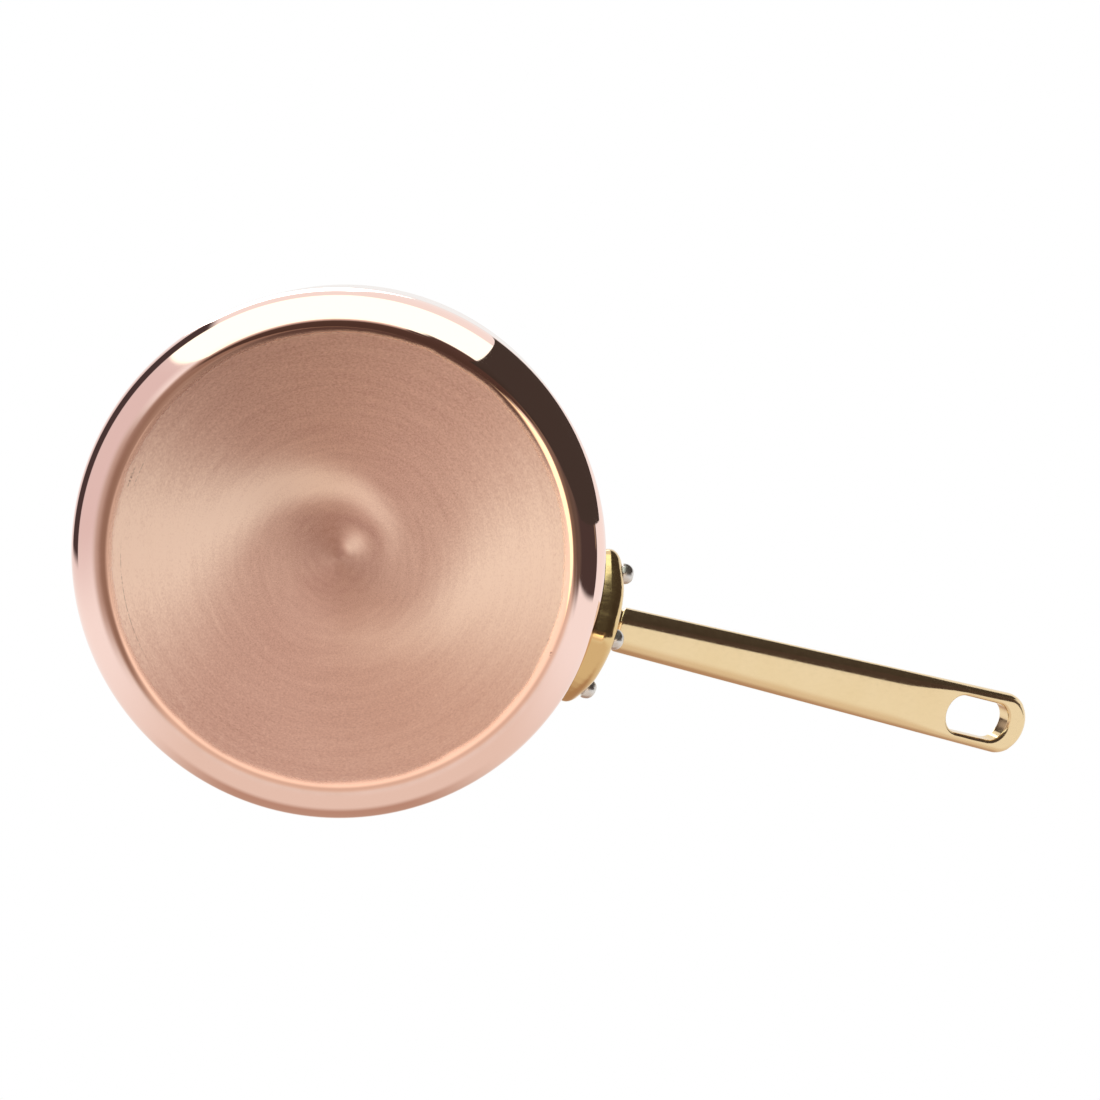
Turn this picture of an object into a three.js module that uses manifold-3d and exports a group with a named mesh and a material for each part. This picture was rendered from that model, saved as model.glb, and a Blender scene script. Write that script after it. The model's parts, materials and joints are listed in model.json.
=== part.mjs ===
// Copper saucepan: a straight-sided copper body with a steel lining bonded inside it, and
// one cast brass handle held to the wall by three domed rivets.
//
// Millimetres, +Z up. The origin is the centre of the underside of the base, and the handle
// points along +X.

import * as THREE from 'three';
import { mergeVertices } from 'three/addons/utils/BufferGeometryUtils.js';
import { TessellateModifier } from 'three/addons/modifiers/TessellateModifier.js';
import Module from 'manifold-3d';

// ---------------------------------------------------------------- driving dimensions

// Pan
const panRadius = 81.5; // outside of the wall
const panHeight = 75;
const cornerRadius = 11.7; // outside of the turn from the base into the wall
const copperThickness = 1.6;
const liningThickness = 0.4;
const bondGap = 0.1; // between the copper and its lining

// Flange of the handle, a plate that wraps round the wall
const flangeThickness = 7;
const flangeEdgeRounding = 4.4;
const flangeFootGap = 0.4; // from the top of the pan's corner up to the foot of the flange
const flangeHeight = 46;
const rivetMargin = 7.1; // from a rivet's axis to the edge of the flange

// Arm of the handle
const armRise = THREE.MathUtils.degToRad(31);
const armRootHeight = 31; // from the foot of the flange up to the arm's underside
const armLength = 189; // along the underside, from the flange to the tip
const armRootWidth = 14.5;
const armEndWidth = 22;
const armRootThickness = 9;
const armEndThickness = 6;
const armEdgeShare = 0.48; // edge rounding as a share of the arm's thickness
const armEmbed = 4; // how far the arm runs on into the flange

// Hanging slot near the arm's tip
const slotLength = 29.5;
const slotWidth = 13.4;
const slotToTip = 9.2; // metal left between the slot and the tip

// Rivets
const rivetShankRadius = 2.4;
const rivetOuterHeadRadius = 3.3;
const rivetOuterHeadHeight = 2.7;
const rivetInnerHeadRadius = 5;
const rivetInnerHeadHeight = 1.3;
const sideRivetSpacing = 35.3; // between the two side rivets, along the wall
const sideRivetRise = 14; // from the lower rivet up to the side rivets

// Clearances
const handleToWall = 0.3;
const shankClearance = 0.3;
const headSeatGap = 0.3;

// Facets
const panSegments = 72;
const cornerSteps = 6;
const rivetSegments = 20;
const headSteps = 5;
const outlineTurn = THREE.MathUtils.degToRad(9); // most that an outline turns at one point
const bevelSteps = 3;
const bendEdgeLength = 7; // longest edge left in the flange before it is bent
const bendPasses = 12; // rounds of halving that bring every edge under that length
const cutMargin = 5; // how far a cutting tool runs past what it cuts

// ---------------------------------------------------------------- derived places

const liningInset = copperThickness + bondGap;
const wallInset = liningInset + liningThickness;
const flangeFoot = cornerRadius + flangeFootGap;
const lowerRivetHeight = flangeFoot + rivetMargin;
const sideRivetHeight = lowerRivetHeight + sideRivetRise;
const sideRivetAngle = sideRivetSpacing / 2 / panRadius;
const flangeBackRadius = panRadius + handleToWall;
const flangeFaceRadius = flangeBackRadius + flangeThickness;

const wasm = await Module();
wasm.setup();

// ---------------------------------------------------------------- solids

// Joins the shared vertices of a geometry and drops the triangles that shrink to nothing
// at a pole, so that what is left is one closed skin.
function weld(geometry) {
  const bare = geometry.clone();
  bare.deleteAttribute('normal');
  bare.deleteAttribute('uv');
  const merged = mergeVertices(bare);
  const kept = [];
  const index = merged.index.array;
  for (let i = 0; i < index.length; i += 3) {
    const [a, b, c] = [index[i], index[i + 1], index[i + 2]];
    if (a !== b && b !== c && c !== a) kept.push(a, b, c);
  }
  merged.setIndex(kept);
  return merged;
}

function toSolid(geometry) {
  const skin = weld(geometry);
  const mesh = new wasm.Mesh({
    numProp: 3,
    vertProperties: new Float32Array(skin.attributes.position.array),
    triVerts: new Uint32Array(skin.index.array),
  });
  return new wasm.Manifold(mesh);
}

function toGeometry(solid) {
  const mesh = solid.getMesh();
  const geometry = new THREE.BufferGeometry();
  const position = new THREE.BufferAttribute(new Float32Array(mesh.vertProperties), 3);
  geometry.setAttribute('position', position);
  geometry.setIndex(new THREE.BufferAttribute(new Uint32Array(mesh.triVerts), 1));
  geometry.computeVertexNormals();
  return geometry;
}

// Turns a profile of (radius, height) points about the Z axis.
function turn(points, segments) {
  return new THREE.LatheGeometry(points, segments).rotateX(Math.PI / 2);
}

// Points along part of an ellipse, both ends included.
function arc(centreX, centreY, radiusX, radiusY, start, end, steps) {
  const points = [];
  for (let i = 0; i <= steps; i += 1) {
    const angle = THREE.MathUtils.lerp(start, end, i / steps);
    const x = centreX + radiusX * Math.cos(angle);
    const y = centreY + radiusY * Math.sin(angle);
    points.push(new THREE.Vector2(x, y));
  }
  return points;
}

// Points along part of a circle in an outline. Every arc turns by about the same angle from
// point to point, so that rounding an edge never folds a short side back on itself.
function round(centreX, centreY, radius, start, end) {
  const steps = Math.ceil(Math.abs(end - start) / outlineTurn);
  return arc(centreX, centreY, radius, radius, start, end, steps);
}

// ---------------------------------------------------------------- pan

// The quarter turn at the foot of the wall, at an inset from the outside of the pan, from
// the flat of the base up to the wall.
function cornerTurn(inset) {
  const centreX = panRadius - cornerRadius;
  const radius = cornerRadius - inset;
  return arc(centreX, cornerRadius, radius, radius, -Math.PI / 2, 0, cornerSteps);
}

// One skin of the pan, between two insets from its outside.
function panSkin(outerInset, innerInset) {
  const outside = [
    new THREE.Vector2(0, outerInset),
    ...cornerTurn(outerInset),
    new THREE.Vector2(panRadius - outerInset, panHeight),
  ];
  const inside = [
    new THREE.Vector2(panRadius - innerInset, panHeight),
    ...cornerTurn(innerInset).reverse(),
    new THREE.Vector2(0, innerInset),
  ];
  return turn([...outside, ...inside], panSegments);
}

// The three rivets: where each one sits round the wall and how high.
const rivetPlaces = [
  { name: 'rivet_lower', angle: 0, height: lowerRivetHeight },
  { name: 'rivet_left', angle: sideRivetAngle, height: sideRivetHeight },
  { name: 'rivet_right', angle: -sideRivetAngle, height: sideRivetHeight },
];

// A drill along each rivet's axis, through the lining, the copper and the flange.
function rivetDrills() {
  const radius = rivetShankRadius + shankClearance;
  const start = panRadius - wallInset - cutMargin;
  const end = flangeFaceRadius + cutMargin;
  return rivetPlaces.map(({ angle, height }) => {
    const drill = new THREE.CylinderGeometry(radius, radius, end - start, rivetSegments);
    drill.rotateZ(-Math.PI / 2);
    drill.translate((start + end) / 2, 0, height);
    drill.rotateZ(angle);
    return toSolid(drill);
  });
}

function cutAll(solid, tools) {
  return tools.reduce((left, tool) => left.subtract(tool), solid);
}

function copperBody() {
  return toGeometry(cutAll(toSolid(panSkin(0, copperThickness)), rivetDrills()));
}

function steelLining() {
  return toGeometry(cutAll(toSolid(panSkin(liningInset, wallInset)), rivetDrills()));
}

// ---------------------------------------------------------------- handle

// The flange laid flat: a round foot about the lower rivet, round shoulders about the side
// rivets, and a crown over the arm. Straight sides join foot and shoulders, and each curve
// runs into the next without a corner.
function flangeOutline() {
  const reach = sideRivetSpacing / 2;
  const shoulder = lowerRivetHeight + sideRivetRise;
  const footEnd = Math.atan2(sideRivetRise, reach) - Math.PI / 2;
  const crownRise = flangeFoot + flangeHeight - rivetMargin - shoulder;
  const crownToShoulder = (reach ** 2 + crownRise ** 2) / (2 * crownRise);
  const crownRadius = crownToShoulder + rivetMargin;
  const crownCentre = flangeFoot + flangeHeight - crownRadius;
  const crownStart = Math.atan2(shoulder - crownCentre, reach);
  return new THREE.Shape([
    ...round(0, lowerRivetHeight, rivetMargin, -Math.PI - footEnd, footEnd),
    ...round(reach, shoulder, rivetMargin, footEnd, crownStart),
    ...round(0, crownCentre, crownRadius, crownStart, Math.PI - crownStart).slice(1, -1),
    ...round(-reach, shoulder, rivetMargin, Math.PI - crownStart, Math.PI - footEnd),
  ]);
}

// Wraps a flat plate round the pan: across becomes round the wall, and depth becomes the
// distance out from it.
function wrapRoundWall(geometry) {
  const position = geometry.attributes.position;
  for (let i = 0; i < position.count; i += 1) {
    const angle = position.getX(i) / panRadius;
    const radius = flangeBackRadius + position.getZ(i);
    position.setXYZ(i, radius * Math.cos(angle), radius * Math.sin(angle), position.getY(i));
  }
  return geometry;
}

// The flange starts thick enough that the rounding of its back edge falls inside the wall,
// where the bore that fits it to the pan cuts it away.
function flangeSolid() {
  const spare = flangeEdgeRounding + handleToWall;
  const plate = new THREE.ExtrudeGeometry(flangeOutline(), {
    depth: flangeThickness + spare - 2 * flangeEdgeRounding,
    bevelThickness: flangeEdgeRounding,
    bevelSize: flangeEdgeRounding,
    bevelOffset: -flangeEdgeRounding,
    bevelSegments: bevelSteps,
  });
  plate.translate(0, 0, flangeEdgeRounding - spare);
  const fine = new TessellateModifier(bendEdgeLength, bendPasses).modify(plate);
  return toSolid(wrapRoundWall(fine));
}

// The bore that fits the handle to the wall, with the same facets as the pan.
function wallBore() {
  const profile = [
    new THREE.Vector2(0, -cutMargin),
    new THREE.Vector2(flangeBackRadius, -cutMargin),
    new THREE.Vector2(flangeBackRadius, panHeight + cutMargin),
    new THREE.Vector2(0, panHeight + cutMargin),
  ];
  return toSolid(turn(profile, panSegments));
}

// The arm seen from above, widening from its root to a half-round tip.
function armOutline() {
  const tipRadius = armEndWidth / 2;
  return new THREE.Shape([
    new THREE.Vector2(-armEmbed, -armRootWidth / 2),
    ...round(armLength - tipRadius, 0, tipRadius, -Math.PI / 2, Math.PI / 2),
    new THREE.Vector2(-armEmbed, armRootWidth / 2),
  ]);
}

// Puts a geometry of the arm at its place: the underside starts on the flange's face and
// climbs outwards.
function placeOnArm(geometry) {
  geometry.rotateY(-armRise);
  geometry.translate(flangeFaceRadius, 0, flangeFoot + armRootHeight);
  return geometry;
}

// The arm is extruded at its thickness at the tip, then thickened steadily towards the root.
function armSolid() {
  const rounding = armEdgeShare * armEndThickness;
  const arm = new THREE.ExtrudeGeometry(armOutline(), {
    depth: armEndThickness - 2 * rounding,
    bevelThickness: rounding,
    bevelSize: rounding,
    bevelOffset: -rounding,
    bevelSegments: bevelSteps,
  });
  arm.translate(0, 0, rounding);
  const position = arm.attributes.position;
  const rootScale = armRootThickness / armEndThickness;
  for (let i = 0; i < position.count; i += 1) {
    const along = position.getX(i) / armLength;
    position.setZ(i, position.getZ(i) * THREE.MathUtils.lerp(rootScale, 1, along));
  }
  return toSolid(placeOnArm(arm));
}

// The tool that cuts the hanging slot: straight sides and half-round ends.
function slotTool() {
  const endRadius = slotWidth / 2;
  const farCentre = armLength - slotToTip - endRadius;
  const nearCentre = farCentre - (slotLength - slotWidth);
  const outline = new THREE.Shape([
    ...round(nearCentre, 0, endRadius, Math.PI / 2, (3 * Math.PI) / 2),
    ...round(farCentre, 0, endRadius, -Math.PI / 2, Math.PI / 2),
  ]);
  const depth = armRootThickness + 2 * cutMargin;
  const tool = new THREE.ExtrudeGeometry(outline, { depth, bevelEnabled: false });
  tool.translate(0, 0, -cutMargin);
  return toSolid(placeOnArm(tool));
}

function handle() {
  const casting = flangeSolid().add(armSolid());
  return toGeometry(cutAll(casting, [wallBore(), slotTool(), ...rivetDrills()]));
}

// ---------------------------------------------------------------- rivets

// A rivet's profile along its own axis, which runs out from the axis of the pan: a low head
// inside the pan, the shank through the wall and the flange, and a domed head outside. The
// inner head is flat, so it stands off the hollow wall by the depth of the wall's curve.
function rivet() {
  const liningRadius = (panRadius - wallInset) * Math.cos(Math.PI / panSegments);
  const hollow = liningRadius - Math.sqrt(liningRadius ** 2 - rivetInnerHeadRadius ** 2);
  const innerSeat = liningRadius - hollow - headSeatGap;
  const outerSeat = flangeFaceRadius + headSeatGap;
  const profile = [
    ...arc(0, innerSeat, rivetInnerHeadRadius, rivetInnerHeadHeight, -Math.PI / 2, 0, headSteps),
    new THREE.Vector2(rivetShankRadius, innerSeat),
    new THREE.Vector2(rivetShankRadius, outerSeat),
    ...arc(0, outerSeat, rivetOuterHeadRadius, rivetOuterHeadHeight, 0, Math.PI / 2, headSteps),
  ];
  return weld(new THREE.LatheGeometry(profile, rivetSegments)).rotateZ(-Math.PI / 2);
}

// ---------------------------------------------------------------- materials

const polishedCopper = new THREE.MeshStandardMaterial({
  color: '#d99a82',
  roughness: 0.12,
  metalness: 1,
});
const liningSteel = new THREE.MeshStandardMaterial({
  color: '#c9c9c7',
  roughness: 0.35,
  metalness: 1,
});
const castBrass = new THREE.MeshStandardMaterial({
  color: '#d8b777',
  roughness: 0.15,
  metalness: 1,
});
const rivetSteel = new THREE.MeshStandardMaterial({
  color: '#b5b1ab',
  roughness: 0.3,
  metalness: 1,
});

// ---------------------------------------------------------------- assembly

function piece(name, geometry, material) {
  const mesh = new THREE.Mesh(geometry, material);
  mesh.name = name;
  return mesh;
}

const saucepan = new THREE.Group();
saucepan.add(piece('copper_body', copperBody(), polishedCopper));
saucepan.add(piece('steel_lining', steelLining(), liningSteel));
saucepan.add(piece('handle', handle(), castBrass));

for (const place of rivetPlaces) {
  const mesh = piece(place.name, rivet(), rivetSteel.clone());
  mesh.rotation.z = place.angle;
  mesh.position.z = place.height;
  saucepan.add(mesh);
}

export default saucepan;
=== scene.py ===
# %% [markdown]
# # A copper saucepan
# The pan is a straight-sided copper body with a steel lining, and one cast brass handle held by
# three rivets. This script loads the measured model as a fixed frame and models each piece again
# with a fine surface: the rounded corner, the brushed base, the handle's soft cast edges and the
# hammered rivets.

# %% Load the frame
import json
import math

import bmesh
import bpy
from mathutils import Matrix, Vector, noise

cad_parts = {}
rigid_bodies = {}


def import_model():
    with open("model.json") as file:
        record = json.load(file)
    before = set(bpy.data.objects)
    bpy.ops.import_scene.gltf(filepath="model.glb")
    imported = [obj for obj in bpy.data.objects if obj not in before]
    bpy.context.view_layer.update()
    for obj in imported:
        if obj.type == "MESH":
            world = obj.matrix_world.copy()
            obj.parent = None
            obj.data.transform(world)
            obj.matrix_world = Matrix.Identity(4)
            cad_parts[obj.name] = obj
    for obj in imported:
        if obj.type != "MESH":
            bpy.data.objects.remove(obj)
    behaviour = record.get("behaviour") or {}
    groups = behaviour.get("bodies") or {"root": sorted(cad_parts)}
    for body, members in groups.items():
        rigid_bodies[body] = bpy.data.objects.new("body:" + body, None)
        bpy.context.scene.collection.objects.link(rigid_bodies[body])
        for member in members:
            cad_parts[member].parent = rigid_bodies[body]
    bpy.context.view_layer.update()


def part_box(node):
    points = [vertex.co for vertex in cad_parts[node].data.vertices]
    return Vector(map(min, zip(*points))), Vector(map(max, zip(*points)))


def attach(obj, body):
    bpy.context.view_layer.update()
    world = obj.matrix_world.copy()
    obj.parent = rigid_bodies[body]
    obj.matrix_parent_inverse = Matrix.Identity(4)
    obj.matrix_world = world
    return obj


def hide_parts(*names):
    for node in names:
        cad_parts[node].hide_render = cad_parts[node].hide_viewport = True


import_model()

MM = 0.001

# %% [markdown]
# ## Sizes
# Most sizes come from the boxes of the frame's nodes. The few that a box can't give, such as how
# round an edge is, are named here.

# %% Sizes
pan_low, pan_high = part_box("copper_body")
lining_low, lining_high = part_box("steel_lining")
handle_low, handle_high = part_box("handle")
lower_low, lower_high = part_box("rivet_lower")
left_low, left_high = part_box("rivet_left")

PAN_RADIUS = pan_high.x
PAN_HEIGHT = pan_high.z
CORNER_RADIUS = 11.7 * MM
COPPER_THICKNESS = 1.6 * MM
LINING_THICKNESS = 0.5 * MM
BOND = 0.02 * MM
RIM_EASE = 0.3 * MM

FLANGE_FOOT = handle_low.z
FLANGE_HEIGHT = 46 * MM
FLANGE_THICKNESS = 7 * MM
FLANGE_GAP = 0.3 * MM
FLANGE_ROUNDING = 4.4 * MM
RIVET_MARGIN = 7.1 * MM
FLANGE_FACE = PAN_RADIUS + FLANGE_GAP + FLANGE_THICKNESS

ARM_RISE = math.radians(31)
ARM_LENGTH = 189 * MM
ARM_ROOT_HEIGHT = FLANGE_FOOT + 31 * MM
ARM_ROOT_WIDTH = 14.5 * MM
ARM_END_WIDTH = 22 * MM
ARM_ROOT_THICKNESS = 9 * MM
ARM_END_THICKNESS = 6 * MM
ARM_EMBED = 7 * MM
ARM_ROOT_SHOULDER = 4.8 * MM
ARM_END_SHOULDER = 2.7 * MM
ARM_CROWN = 0.35 * MM
NECK_LENGTH = 2.5 * MM
NECK_ROUNDING = 2.0 * MM

SLOT_LENGTH = 29.5 * MM
SLOT_WIDTH = 13.4 * MM
SLOT_TO_TIP = 9.2 * MM

RIVET_LOWER_HEIGHT = (lower_low.z + lower_high.z) / 2
RIVET_SIDE_HEIGHT = (left_low.z + left_high.z) / 2
RIVET_SIDE_REACH = 17.65 * MM
RIVET_SIDE_ANGLE = RIVET_SIDE_REACH / PAN_RADIUS
RIVET_SHANK = 2.4 * MM
RIVET_HEAD = 3.3 * MM
RIVET_HEAD_HEIGHT = lower_high.x - FLANGE_FACE
RIVET_INNER_HEAD = 5 * MM
RIVET_INNER_HEIGHT = 1.5 * MM
HAIR = 1e-6
PICK_MARGIN = 0.1 * MM
FLAT_ANGLE = math.radians(0.5)
print("pan", round((pan_high.x - pan_low.x) / MM, 1), "mm across")
print("pan", round(PAN_HEIGHT / MM, 1), "mm high")
print("lining from", round(lining_low.z / MM, 1), "to", round(lining_high.z / MM, 1), "mm up")
print("handle reaches", round(handle_high.x / MM, 1), "mm from the axis")

# %% [markdown]
# ## Working by hand, from code
# Blender's modelling operators act on what is selected. These helpers deselect everything, open
# edit mode on one object, and select vertices, edges or faces by where they are, which is what a
# person does with the mouse.

# %% Selecting in edit mode
def clear():
    """Leaves edit mode and deselects everything."""
    if bpy.context.object and bpy.context.object.mode != "OBJECT":
        bpy.ops.object.mode_set(mode="OBJECT")
    bpy.ops.object.select_all(action="DESELECT")


def only(piece):
    """Selects one object and nothing else."""
    clear()
    piece.select_set(True)
    bpy.context.view_layer.objects.active = piece


def edit(piece, mode="VERT"):
    """Opens edit mode on one object, with nothing selected."""
    only(piece)
    bpy.ops.object.mode_set(mode="EDIT")
    bpy.ops.mesh.select_mode(type=mode)
    bpy.ops.mesh.select_all(action="DESELECT")


def pick(piece, kind, test):
    """Selects the vertices, edges or faces that pass a test, and says how many there are."""
    mesh = bmesh.from_edit_mesh(piece.data)
    items = getattr(mesh, kind)
    for item in items:
        item.select = test(item)
    mesh.select_flush_mode()
    bmesh.update_edit_mesh(piece.data)
    return sum(item.select for item in items)


def done(piece):
    """Back to object mode, with the place applied to the mesh."""
    only(piece)
    bpy.ops.object.transform_apply(location=True, rotation=True, scale=True)


def apply_modifier(piece, kind, **values):
    """Adds a modifier, sets its values and applies it."""
    only(piece)
    modifier = piece.modifiers.new(kind.lower(), kind)
    for name, value in values.items():
        setattr(modifier, name, value)
    bpy.ops.object.modifier_apply(modifier=modifier.name)


def cut(piece, tool, operation="DIFFERENCE"):
    """Cuts or joins with another mesh, which is then removed."""
    apply_modifier(piece, "BOOLEAN", operation=operation, object=tool, solver="MANIFOLD")
    bpy.data.objects.remove(tool, do_unlink=True)


def smooth(piece, degrees=30):
    """Smooth shading, with a crease wherever two faces meet at more than this angle."""
    only(piece)
    bpy.ops.object.shade_smooth_by_angle(angle=math.radians(degrees))


def middle(edge):
    """The middle of an edge."""
    return (edge.verts[0].co + edge.verts[1].co) / 2


# %% [markdown]
# ## The camera
# The pan is seen from underneath, a little off its axis, with the handle to the right. The
# camera is given by its place, the direction behind it and the direction to its right. The third
# direction, up, follows from those two, and the right is first made square to the back.

# %% Camera
VIEW_POINT = Vector((3.42, -98.7, -859.44)) * MM
VIEW_BACK = Vector((-0.06544, -0.0886, -0.99392)).normalized()
VIEW_RIGHT = Vector((0.95063, -0.30833, -0.03511))
VIEW_RIGHT = (VIEW_RIGHT - VIEW_RIGHT.dot(VIEW_BACK) * VIEW_BACK).normalized()
VIEW_UP = VIEW_BACK.cross(VIEW_RIGHT)
LENS = 93.65

camera = bpy.data.objects.new("camera", bpy.data.cameras.new("camera"))
bpy.context.scene.collection.objects.link(camera)
camera.matrix_world = (
    Matrix.Translation(VIEW_POINT)
    @ Matrix((VIEW_RIGHT, VIEW_UP, VIEW_BACK)).transposed().to_4x4()
)
camera.data.lens = LENS
camera.data.sensor_width = 36
camera.data.clip_start = 0.01
camera.data.clip_end = 20
bpy.context.scene.camera = camera
print("camera", round(VIEW_POINT.length / MM), "mm from the base")

# %% [markdown]
# ## The copper body
# The real one is a disc of copper pressed or spun into a pan: a flat base, a round corner and a
# straight wall, all one sheet. It could be a spun profile. Here a cylinder's bottom edge is
# bevelled instead, because the bevel's width is the corner's radius and the base stays one flat
# face, and Solidify then gives the sheet its thickness the same way all over.

# %% Pan skin
PAN_TURNS = 192
CORNER_STEPS = 20
BASE_HOLD = 0.4 * MM
RIM_EASE_STEPS = 3


def on_rim(edge):
    """Whether an edge runs round the pan at its top."""
    first, second = (vertex.co for vertex in edge.verts)
    level = abs(first.z - PAN_HEIGHT) < HAIR and abs(second.z - PAN_HEIGHT) < HAIR
    return level and abs(first.xy.length - second.xy.length) < HAIR


def pan_skin(name, radius, floor, corner, thickness):
    """One closed skin of the pan, from its outside radius and the height of its underside."""
    height = PAN_HEIGHT - floor
    clear()
    bpy.ops.mesh.primitive_cylinder_add(
        vertices=PAN_TURNS, radius=radius, depth=height, location=(0, 0, floor + height / 2)
    )
    skin = bpy.context.object
    skin.name = skin.data.name = name
    done(skin)
    edit(skin, "FACE")
    pick(skin, "faces", lambda f: f.normal.z > 0.9)
    bpy.ops.mesh.delete(type="FACE")
    edit(skin, "EDGE")
    pick(skin, "edges", lambda e: middle(e).z < floor + BASE_HOLD)
    bpy.ops.mesh.bevel(offset=corner, segments=CORNER_STEPS, profile=0.5, affect="EDGES")
    edit(skin, "FACE")
    pick(skin, "faces", lambda f: f.normal.z < -0.9999)
    bpy.ops.mesh.inset(thickness=BASE_HOLD)
    apply_modifier(skin, "SOLIDIFY", thickness=thickness, offset=-1, use_even_offset=True)
    edit(skin, "EDGE")
    pick(skin, "edges", on_rim)
    bpy.ops.mesh.bevel(
        offset=min(RIM_EASE, thickness / 3), segments=RIM_EASE_STEPS, affect="EDGES"
    )
    return skin


# %% [markdown]
# ## Rivet holes
# The handle is held by three rivets, one low in the middle and two higher at the sides, and each
# goes through the flange, the copper and the lining. A drill is a plain cylinder along the
# rivet's axis, cut out with a boolean. The same helper drills every layer, so the holes always
# line up.

# %% Rivet drills
DRILL_LENGTH = 30 * MM
DRILL_CLEARANCE = 0.05 * MM
DRILL_TURNS = 40


def rivet_places():
    """Name, angle round the pan and height of each rivet."""
    return (
        ("rivet_lower", 0, RIVET_LOWER_HEIGHT),
        ("rivet_left", RIVET_SIDE_ANGLE, RIVET_SIDE_HEIGHT),
        ("rivet_right", -RIVET_SIDE_ANGLE, RIVET_SIDE_HEIGHT),
    )


def drill_for_rivets(piece):
    """Drills a hole along each rivet's axis, a hair wider than its shank."""
    for _, angle, height in rivet_places():
        out = Vector((math.cos(angle), math.sin(angle), 0)) * PAN_RADIUS
        clear()
        bpy.ops.mesh.primitive_cylinder_add(
            vertices=DRILL_TURNS, radius=RIVET_SHANK + DRILL_CLEARANCE, depth=DRILL_LENGTH,
            location=out + Vector((0, 0, height)), rotation=(0, math.pi / 2, angle),
        )
        cut(piece, bpy.context.object)


# %% [markdown]
# ## Both layers of the pan
# A steel lining is bonded inside the copper. It is the same skin again, smaller by the copper's
# thickness and with a tighter corner, so one helper makes both and they nest closely.

# %% Copper body and steel lining
body = pan_skin("pan_copper", PAN_RADIUS, 0, CORNER_RADIUS, COPPER_THICKNESS)
drill_for_rivets(body)
smooth(body)
lining = pan_skin(
    "pan_lining", PAN_RADIUS - COPPER_THICKNESS - BOND, COPPER_THICKNESS + BOND,
    CORNER_RADIUS - COPPER_THICKNESS, LINING_THICKNESS - BOND,
)
drill_for_rivets(lining)
smooth(lining)
print("copper body:", len(body.data.polygons), "faces; lining:", len(lining.data.polygons))

# %% [markdown]
# ## The flange
# The handle is one casting. Its flange is a thick plate wrapped round the wall, with a foot about
# the lower rivet, shoulders about the side rivets and a crown over the arm. Discs set along both
# lower edges, half of a larger one for the crown and a convex hull give that outline with no
# drawing. The discs midway along an edge are a little larger, which gives the edge its slight
# swell, and a bevel then rounds the edge of the face.

# %% Flange plate
FLANGE_SLICES = 48
FLANGE_SPARE = 3 * MM
LOWER_EDGE_STEPS = 10
LOWER_EDGE_SWELL = 1.5 * MM
LOBE_TURNS = 128
EDGE_STEPS = 12


def mix(a, b, share):
    """The value a share of the way from a to b."""
    return a + (b - a) * share


def ease(value, low, high):
    """A smooth step from 0 at low to 1 at high."""
    share = min(1, max(0, (value - low) / (high - low)))
    return share * share * (3 - 2 * share)


def add_lobe(x, z, radius):
    """Adds a disc of the plate's thickness to the open mesh, with its face towards -Y."""
    bpy.ops.mesh.primitive_cylinder_add(
        vertices=LOBE_TURNS, radius=radius, depth=FLANGE_FACE - PAN_RADIUS + FLANGE_SPARE,
        location=(x, (FLANGE_SPARE - FLANGE_FACE + PAN_RADIUS) / 2, z),
        rotation=(math.pi / 2, 0, 0),
    )


def flange_plate():
    """The flat plate: across in X, thickness in Y, height in Z, the wall's surface at Y = 0."""
    top = FLANGE_FOOT + FLANGE_HEIGHT
    rise = top - RIVET_MARGIN - RIVET_SIDE_HEIGHT
    crown = (RIVET_SIDE_REACH**2 + rise**2) / (2 * rise) + RIVET_MARGIN
    clear()
    bpy.ops.mesh.primitive_cylinder_add(vertices=3, radius=MM, depth=MM)
    plate = bpy.context.object
    plate.name = plate.data.name = "handle_brass"
    edit(plate)
    bpy.ops.mesh.select_all(action="SELECT")
    bpy.ops.mesh.delete(type="VERT")
    add_lobe(0, top - crown, crown)
    bpy.ops.mesh.bisect(
        plane_co=(0, 0, top - crown), plane_no=(0, 0, 1), clear_inner=True
    )
    add_lobe(0, RIVET_LOWER_HEIGHT, RIVET_MARGIN)
    for i in range(1, LOWER_EDGE_STEPS + 1):
        share = i / LOWER_EDGE_STEPS
        swell = LOWER_EDGE_SWELL * 4 * share * (1 - share)
        z = mix(RIVET_LOWER_HEIGHT, RIVET_SIDE_HEIGHT, share)
        add_lobe(RIVET_SIDE_REACH * share, z, RIVET_MARGIN + swell)
        add_lobe(-RIVET_SIDE_REACH * share, z, RIVET_MARGIN + swell)
    bpy.ops.mesh.select_all(action="SELECT")
    bpy.ops.mesh.convex_hull()
    bpy.ops.mesh.select_all(action="SELECT")
    bpy.ops.mesh.dissolve_limited(angle_limit=FLAT_ANGLE)
    edit(plate, "EDGE")
    face = PAN_RADIUS - FLANGE_FACE + PICK_MARGIN
    rim = pick(plate, "edges", lambda e: all(v.co.y < face for v in e.verts))
    bpy.ops.mesh.bevel(
        offset=FLANGE_ROUNDING, segments=EDGE_STEPS, profile=0.5, affect="EDGES"
    )
    print("flange: crown radius", round(crown / MM, 1), "mm, rim of", rim, "edges")
    return plate


handle = flange_plate()

# %% [markdown]
# ## The flange's curve
# The real flange is cast to the wall's curve, with wings that thin towards their ends. The Simple
# Deform modifier bends the flat plate, which keeps its outline and its rounded edge. The plate is
# sliced upright first, because a bend only moves vertices, and a long flat face would stay flat.

# %% Wrap the flange round the wall
WING_THINNING = 0.2


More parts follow.
